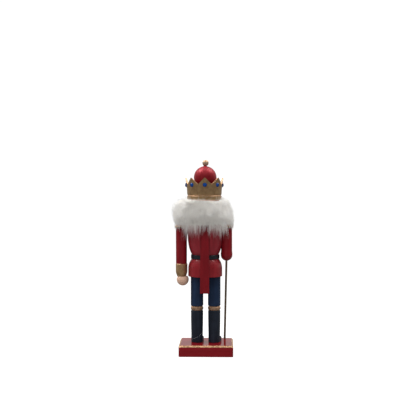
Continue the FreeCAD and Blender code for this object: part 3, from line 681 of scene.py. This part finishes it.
def wig_wisps(name, grid, locks, around, look, reach=(8, 36), on_lever=False):
    """Thin pointed locks that hang from the pile's lower edge over the coat.

    Those that stay with the figure hang beside the lever, and never in its way."""
    per_lock = 7
    roots, _, outwards, _ = wig_roots(grid, locks, around, (0.84, 1.0))
    lengths = RNG.uniform(*reach, locks)
    spread = RNG.normal(0, 1.5 * MM, (locks, per_lock, 3))
    start = (roots[:, None] + spread + np.array([0, 0, 2.0 * MM])).reshape(-1, 3)
    heading = outwards * 0.12 + np.array([0, 0, -1.0]) + wander(roots, 80, 6) * 0.35
    heading = np.repeat(heading, per_lock, axis=0) + RNG.normal(0, 0.06, start.shape)
    lengths = np.repeat(lengths, per_lock) * RNG.uniform(0.6, 1.0, len(start)) * MM + 4 * MM
    points = WISP_STEPS + 1
    shaped = grow(start, heading, lengths, WISP_STEPS, 0.10, 0.08).reshape(locks, per_lock, points, 3)
    middle = shaped.mean(axis=1, keepdims=True)
    weight = (np.linspace(0, 1, points) ** 1.2)[None, None, :, None]
    shaped = shaped + (middle - shaped) * weight * 0.6
    paths = shaped.reshape(-1, points, 3)
    if not on_lever:
        beside = LEVER_HALF + 1.2 * MM
        x = paths[..., 0]
        paths[..., 0] = np.where(np.abs(x) < beside, math.copysign(beside, sum(around)), x)
    paths = push_clear(paths, 0.0 if on_lever else LEVER_LIFT)
    return strand_mesh(name, paths, WISP_HAIR, look)


def wig_tuft(name, grid, count, around, look):
    """A loose tuft that stands up beside the crown."""
    roots, _, outwards, _ = wig_roots(grid, count, around, (0.0, 0.12))
    lean = wander(roots, 160, 7) * 0.5 + RNG.normal(0, 0.2, roots.shape)
    heading = outwards * 0.55 + np.array([0, 0, 0.75]) + lean
    paths = grow(roots, heading, RNG.uniform(5, 11, count) * MM, STRAND_STEPS, 0.22, 0.2)
    return strand_mesh(name, paths, TUFT_HAIR, look)


def stray_hair(look):
    """One shed hair that clings round the left boot."""
    low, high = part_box("left_boot")
    centre, radius = (low.x + high.x) / 2, (high.x - low.x) / 2 + 0.45 * MM
    t = np.linspace(0, 1, 25)
    x = centre + radius * np.linspace(0.86, -0.98, 25)
    y = np.sqrt(np.maximum(radius**2 - (x - centre) ** 2, 0)) + 0.15 * MM
    z = low.z + (6.0 + 13.6 * t - 1.6 * np.sin(math.pi * t)) * MM
    return strand_mesh("stray_hair", np.stack([x, y, z], axis=-1)[None], 0.34 * MM, look)


def make_wig(looks):
    grid = wig_grid()
    look = looks["fur"]
    pile = wig_pile(grid, looks["underfur"])
    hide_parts("hair_fur")
    pieces = [pile]
    tip, seam = 116, 57  # degrees from the back to the wig's ends, and to where sides and back meet
    sectors = {
        "right_side": (-tip, -seam),
        "right_back": (-seam, 0),
        "left_back": (0, seam),
        "left_side": (seam, tip),
    }
    for name, around in sectors.items():
        pieces.append(wig_coat("wig_coat_" + name, grid, 5500, around, look))
        pieces.append(wig_halo("wig_halo_" + name, grid, 290, around, look))
    pieces.append(wig_tuft("wig_tuft", grid, 240, (-92, -58), look))
    pieces.append(stray_hair(look))
    for side, word in ((-1, "right"), (1, "left")):
        behind, over_arm = sorted((side * 14, side * 52)), sorted((side * 52, side * 105))
        pieces.append(wig_wisps("wig_wisps_back_" + word, grid, 84, behind, look))
        pieces.append(wig_wisps("wig_wisps_arm_" + word, grid, 60, over_arm, look, reach=(1, 17)))
    for piece in pieces:
        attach(piece, BODY)
    over_lever = wig_wisps("wig_wisps_lever", grid, 34, (-14, 14), look, reach=(10, 28), on_lever=True)
    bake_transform(over_lever)


# ---- Beard and moustache -------------------------------------------------------------------------
BEARD_TOP, BEARD_TIP = 0.248, 0.204


def beard_inner(z):
    """How far in front of the axis the beard's back lies: in front of the jaw, then of the chest."""
    heights = np.array([198, 206, 212.5, 219.5, 230, 240, 243, 248]) * MM
    radii = np.array([43.4, 43.0, 42.4, 41.0, 38.2, 34.2, 31.6, 30.2]) * MM
    return np.interp(z, heights, radii)


def beard_half_width(z):
    heights = np.array([204, 208, 214, 228, 240, 247.5]) * MM
    widths = np.array([4.0, 11.5, 16.5, 23.5, 23.5, 17.5]) * MM
    return np.interp(z, heights, widths)


def beard_point(across, z, depth):
    """across runs from -1 to 1 over the beard's width, and depth from 0 at its back to 1."""
    x = across * beard_half_width(z)
    rounded_top = np.clip((BEARD_TOP + 0.2 * MM - z) / (3 * MM), 0, 1) ** 0.5
    pointed_tip = smooth_step(z, BEARD_TIP - 0.5 * MM, BEARD_TIP + 8 * MM)
    thick = 4.2 * MM * np.sqrt(np.clip(1 - across**2, 0, 1)) * rounded_top * pointed_tip
    r = beard_inner(z) + depth * thick
    return np.stack([x, -np.sqrt(np.maximum(r * r - x * x, 1e-8)), z], axis=-1)


def beard_pile(look):
    rows, half = 26, 14
    z = np.linspace(BEARD_TOP, BEARD_TIP, rows)
    front = np.linspace(-1, 1, half)
    across = np.concatenate([front, front[-2:0:-1]])
    depth = np.concatenate([np.ones(half), np.zeros(half - 2)])
    grid = beard_point(across[None, :] + 0 * z[:, None], z[:, None] + 0 * across, depth[None, :])
    columns = len(across)
    faces = [tuple(reversed(f)) for f in ring_faces(rows, columns)]
    faces.append(tuple(range(columns)))
    faces.append(tuple(reversed(range((rows - 1) * columns, rows * columns))))
    return mesh_piece("beard_pile", grid.reshape(-1, 3).tolist(), faces, look)


def beard_rim(count):
    """Hair that springs from the pile's top edge and falls over it."""
    across = RNG.uniform(-0.97, 0.97, count)
    roots = beard_point(across, BEARD_TOP - 0.4 * MM + 0 * across, RNG.uniform(0.1, 1.0, count))
    heading = np.stack([across * 0.8, -1.0 + 0 * across, 0.30 + 0 * across], axis=-1)
    heading += wander(roots, 200, 8) * 0.5 + RNG.normal(0, 0.18, roots.shape)
    return grow(roots, heading, RNG.uniform(6, 13, count) * MM, STRAND_STEPS, 0.55)


def make_beard(looks):
    pile = beard_pile(looks["fur"])
    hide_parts("beard_fur")
    count = 4200
    across = RNG.uniform(-0.98, 0.98, count)
    highest, lowest = BEARD_TOP - 0.2 * MM, BEARD_TIP + 2.5 * MM
    z = highest - (highest - lowest) * RNG.uniform(0, 1, count) ** 1.15
    roots = beard_point(across, z, 1.0)
    outward = unit(np.stack([across * 0.55, -1 + 0 * across, 0.15 + 0 * across], axis=-1))
    lean = wander(roots, 90, 5) * 0.4 + wander(roots, 300, 6) * 0.25 + RNG.normal(0, 0.13, roots.shape)
    heading = outward * 0.62 + np.array([0, 0, -0.75]) + lean
    heading[:, 0] += across * 0.25
    lengths = RNG.uniform(10, 17, count) * MM
    paths = grow(roots + np.array([0, 0.6 * MM, 0]), heading, lengths, STRAND_STEPS, 0.22)
    paths = np.concatenate([gather(paths, count // 20, 0.6), beard_rim(700)])
    paths[..., 1] = np.minimum(paths[..., 1], -beard_inner(np.maximum(paths[..., 2], 0.2)))
    strands = strand_mesh("beard_coat", paths, COAT_HAIR, looks["fur"])
    for piece in (pile, strands):
        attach(piece, MOUTH)


def make_moustache(looks):
    """Two swept tufts under the nose, each a slim core with fine hair along it."""
    tufts = []
    count = 420
    for side in (-1, 1):
        start = RNG.uniform(0, 1, count)
        lift = RNG.normal(0, 1, count)
        proud = np.abs(RNG.normal(0, 1, count))
        x = side * (0.8 + 8.0 * start) * MM
        z = MOUTH_Z + (5.6 - 2.2 * start + 1.1 * lift * (1 - 0.4 * start)) * MM
        y = -np.sqrt(HEAD_R**2 - x**2) - (0.5 + 1.0 * proud) * MM
        roots = np.stack([x, y, z], axis=-1)
        forward = 0.05 * proud - 0.30 * (1 - start)
        heading = np.stack([side + 0 * x, forward, -0.32 + 0.10 * lift], axis=-1)
        lengths = RNG.uniform(7.5, 11.5, count) * MM
        paths = grow(roots, heading + RNG.normal(0, 0.07, roots.shape), lengths, STRAND_STEPS, 0.06, 0.08)
        paths = gather(paths, 26, 0.6)
        x, y = paths[..., 0], paths[..., 1]
        around = np.hypot(x, y)
        limit = HEAD_R + 0.5 * MM
        scale = np.where(around < limit, limit / around, 1.0)
        paths[..., 0], paths[..., 1] = x * scale, y * scale
        tufts.append(paths)
    piece = strand_mesh("moustache_hair", np.concatenate(tufts), COAT_HAIR, looks["fur"])
    core = moustache_core(looks["fur"])
    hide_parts("moustache")
    for part in (piece, core):
        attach(part, BODY)


def moustache_core(look):
    """A tapering roll on each side, bent round the face."""
    rows, columns = 20, 12
    vertices, faces = [], []
    for side in (-1, 1):
        first = len(vertices)
        for i in range(rows):
            t = i / (rows - 1)
            x = side * (0.2 + 14.5 * t) * MM
            thick = 1.9 * MM * math.sin(math.pi * min(0.18 + 0.82 * t, 1.0)) ** 0.7 + 0.05 * MM
            z = MOUTH_Z + (5.3 - 3.4 * t**1.4) * MM
            y = -math.sqrt(HEAD_R**2 - x**2) - thick * 0.5
            for j in range(columns):
                a = side * 2 * math.pi * j / columns
                vertices.append((x, y + thick * 0.8 * math.cos(a), z + thick * math.sin(a)))
        faces += [tuple(first + v for v in f) for f in ring_faces(rows, columns)]
        faces.append(tuple(reversed(range(first, first + columns))))
        faces.append(tuple(range(first + (rows - 1) * columns, first + rows * columns)))
    return mesh_piece("moustache_core", vertices, faces, look)


# ---- Face paint ----------------------------------------------------------------------------------
def paint_patch(name, centre, size, look, thick=0.18, arch=0.0, lean=0.0, pinch=1.0, base=0.0):
    """A raised pool of paint on the face. centre and size are (across, up) in millimetres, measured
    round the head. arch bends it upwards in the middle, lean tips it, and pinch sharpens its ends."""
    rings, spokes = 5, 36
    vertices, faces = [], []

    def place(s, angle, height):
        u = size[0] * s * math.copysign(abs(math.cos(angle)) ** (1 / pinch), math.cos(angle))
        v = size[1] * s * math.sin(angle)
        v += arch * (1 - (u / size[0]) ** 2) + lean * u
        around = (centre[0] + u) * MM / HEAD_R
        r = HEAD_R + (base + height) * MM
        return (r * math.sin(around), -r * math.cos(around), (centre[1] + v) * MM)

    vertices.append(place(0, 0, thick))
    for i in range(1, rings + 1):
        s = i / rings
        height = thick * math.sqrt(1 - (s * 0.96) ** 2)
        vertices += [place(s, 2 * math.pi * j / spokes, height) for j in range(spokes)]
    under = len(vertices)
    vertices += [place(1, 2 * math.pi * j / spokes, -0.12) for j in range(spokes)]
    for j in range(spokes):
        k = (j + 1) % spokes
        faces.append((0, 1 + j, 1 + k))
        for i in range(rings - 1):
            a, b = 1 + i * spokes, 1 + (i + 1) * spokes
            faces.append((a + j, b + j, b + k, a + k))
        rim = 1 + (rings - 1) * spokes
        faces.append((rim + j, under + j, under + k, rim + k))
    faces.append(tuple(reversed(range(under, under + spokes))))
    piece = mesh_piece(name, vertices, faces, look)
    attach(piece, BODY)


def make_face(looks):
    eye_z = (HEAD_LOW.z + HEAD_HIGH.z) / 2 / MM + 5.5
    apart = 9.2
    for side, word in ((-1, "right"), (1, "left")):
        x = side * apart
        paint_patch(word + "_eye_line", (x, eye_z), (4.9, 3.1), looks["ink"], 0.10, pinch=1.15)
        paint_patch(word + "_eye_white", (x, eye_z - 0.15), (4.4, 2.6), looks["white"], 0.22, pinch=1.15)
        paint_patch(word + "_iris", (x, eye_z + 0.1), (2.1, 2.15), looks["brown"], 0.12, base=0.17)
        paint_patch(word + "_pupil", (x, eye_z + 0.1), (1.1, 1.15), looks["ink"], 0.10, base=0.27)
        glint, brow = (x + 0.8, eye_z + 0.95), (x + side * 0.3, eye_z + 5.0)
        paint_patch(word + "_eye_glint", glint, (0.42, 0.42), looks["white"], 0.10, base=0.34)
        paint_patch(word + "_eyebrow", brow, (5.2, 0.85), looks["ink"], 0.2, arch=1.2, lean=-side * 0.06)


def rounded_block(name, low, high, look, body, radius=0.35, curve=None):
    """A soft-edged block. curve maps each point, to bend the block round the face."""
    form = bmesh.new()
    bmesh.ops.create_cube(form, size=1.0)
    for v in form.verts:
        v.co = Vector([low[i] + (high[i] - low[i]) * (v.co[i] + 0.5) for i in range(3)])
    bmesh.ops.bevel(form, geom=form.edges[:], offset=radius * MM, segments=3, profile=0.6, affect="EDGES")
    if curve:
        for v in form.verts:
            v.co = Vector(curve(v.co))
    data = bpy.data.meshes.new(name)
    form.to_mesh(data)
    form.free()
    data.polygons.foreach_set("use_smooth", [True] * len(data.polygons))
    data.materials.append(look)
    piece = bpy.data.objects.new(name, data)
    bpy.context.scene.collection.objects.link(piece)
    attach(piece, body)


def make_teeth(looks):
    """A row of painted teeth on the head over the mouth, and one on the jaw under it."""
    count, width, gap = 6, 2.25 * MM, 0.08 * MM
    back, front = -0.45 * MM, 0.6 * MM
    start = -count * width / 2

    def on_face(p):
        return (p.x, -math.sqrt(HEAD_R**2 - p.x**2) + p.y, p.z)

    for i in range(count):
        left, right = start + i * width + gap, start + (i + 1) * width - gap
        upper = ((left, back, MOUTH_Z + 0.65 * MM), (right, front, MOUTH_Z + 4.2 * MM))
        lower = ((left, back, MOUTH_Z - 3.4 * MM), (right, front, MOUTH_Z - 0.05 * MM))
        rounded_block(f"upper_tooth_{i + 1}", *upper, looks["white"], BODY, curve=on_face)
        rounded_block(f"lower_tooth_{i + 1}", *lower, looks["white"], MOUTH, curve=on_face)


# ---- Stage ---------------------------------------------------------------------------------------
def make_stage():
    """A white sweep: it shows pure white, and lights the figure from below like pale card."""
    data = bpy.data.meshes.new("floor")
    reach = 30.0
    corners = [(-reach, -reach, 0), (reach, -reach, 0), (reach, reach, 0), (-reach, reach, 0)]
    data.from_pydata(corners, [], [(0, 1, 2, 3)])
    floor = bpy.data.objects.new("floor", data)
    bpy.context.scene.collection.objects.link(floor)
    card = bpy.data.materials.new("white_sweep")
    card.use_nodes = True
    tree = card.node_tree
    tree.nodes.clear()
    pale = add(tree, "BsdfDiffuse", {"Color": (0.20, 0.20, 0.20, 1)})
    bright = add(tree, "Emission", {"Color": (1, 1, 1, 1), "Strength": 0.92})
    shown = add(tree, "AddShader")
    link(tree, pale.outputs[0], shown.inputs[0])
    link(tree, bright.outputs[0], shown.inputs[1])
    path = add(tree, "LightPath")
    either = add(tree, "MixShader")
    out = add(tree, "OutputMaterial")
    link(tree, path.outputs["Is Camera Ray"], either.inputs["Fac"])
    link(tree, pale.outputs[0], either.inputs[1])
    link(tree, shown.outputs[0], either.inputs[2])
    link(tree, either.outputs[0], out.inputs["Surface"])
    data.materials.append(card)


def make_lights():
    """Soft boxes over both shoulders, in a room that is pale behind the figure and dim in front."""
    world = bpy.data.worlds.new("studio")
    bpy.context.scene.world = world
    world.use_nodes = True
    tree = world.node_tree
    tree.nodes.clear()
    direction = add(tree, "SeparateXYZ")
    link(tree, add(tree, "TexCoord").outputs["Generated"], direction.inputs["Vector"])
    behind = remap(tree, direction.outputs["Y"], 0.55, -0.45, 0.08, 0.66)
    above = remap(tree, direction.outputs["Z"], 0.3, 1.0, 0.0, 0.50)
    seen = add(tree, "Background", {"Color": (1, 1, 1, 1), "Strength": 1.05})
    lit = add(tree, "Background", {"Color": (1.0, 0.985, 0.965, 1)})
    link(tree, maths(tree, "ADD", behind, above), lit.inputs["Strength"])
    path = add(tree, "LightPath")
    either = add(tree, "MixShader")
    out = add(tree, "OutputWorld")
    link(tree, path.outputs["Is Camera Ray"], either.inputs["Fac"])
    link(tree, lit.outputs[0], either.inputs[1])
    link(tree, seen.outputs[0], either.inputs[2])
    link(tree, either.outputs[0], out.inputs["Surface"])
    target = Vector((0, 0, 0.22))
    lamps = (
        ("soft_box_left", (0.62, -0.15, 1.20), 0.5, 9.0),
        ("soft_box_right", (-0.62, -0.15, 1.20), 0.5, 7.0),
        ("overhead", (0.0, 0.0, 1.50), 0.5, 1.2),
        ("room_fill", (0.3, 2.0, 1.3), 2.5, 29.0),
    )
    for name, place, size, power in lamps:
        data = bpy.data.lights.new(name, "AREA")
        data.shape, data.size, data.size_y, data.energy = "RECTANGLE", size, size, power
        lamp = bpy.data.objects.new(name, data)
        bpy.context.scene.collection.objects.link(lamp)
        lamp.location = place
        lamp.rotation_euler = (target - Vector(place)).to_track_quat("-Z", "Y").to_euler()
        lamp.visible_glossy = name != "room_fill"  # it lights the shadows without being mirrored
    bpy.context.scene.view_settings.view_transform = "Standard"


def make_camera():
    """Behind the figure at crown height, turned a little past square."""
    distance, height, field = 1.33, 0.297, 32.4
    turn, aside, pitch = math.radians(1.3), -8.8 * MM, math.radians(1.44)
    data = bpy.data.cameras.new("camera")
    data.sensor_width = 36.0
    data.lens = 18.0 / math.tan(math.radians(field) / 2)
    camera = bpy.data.objects.new("camera", data)
    bpy.context.scene.collection.objects.link(camera)
    camera.location = (
        aside * math.cos(turn) - distance * math.sin(turn),
        distance * math.cos(turn) + aside * math.sin(turn),
        height,
    )
    camera.rotation_euler = (math.pi / 2 - pitch, 0, math.pi + turn)
    bpy.context.scene.camera = camera


# ---- Assembly ------------------------------------------------------------------------------------
make_camera()
make_stage()
make_lights()
LOOKS = make_materials()
finish_cad_nodes(LOOKS)
make_wig(LOOKS)
make_beard(LOOKS)
make_moustache(LOOKS)
make_face(LOOKS)
make_teeth(LOOKS)
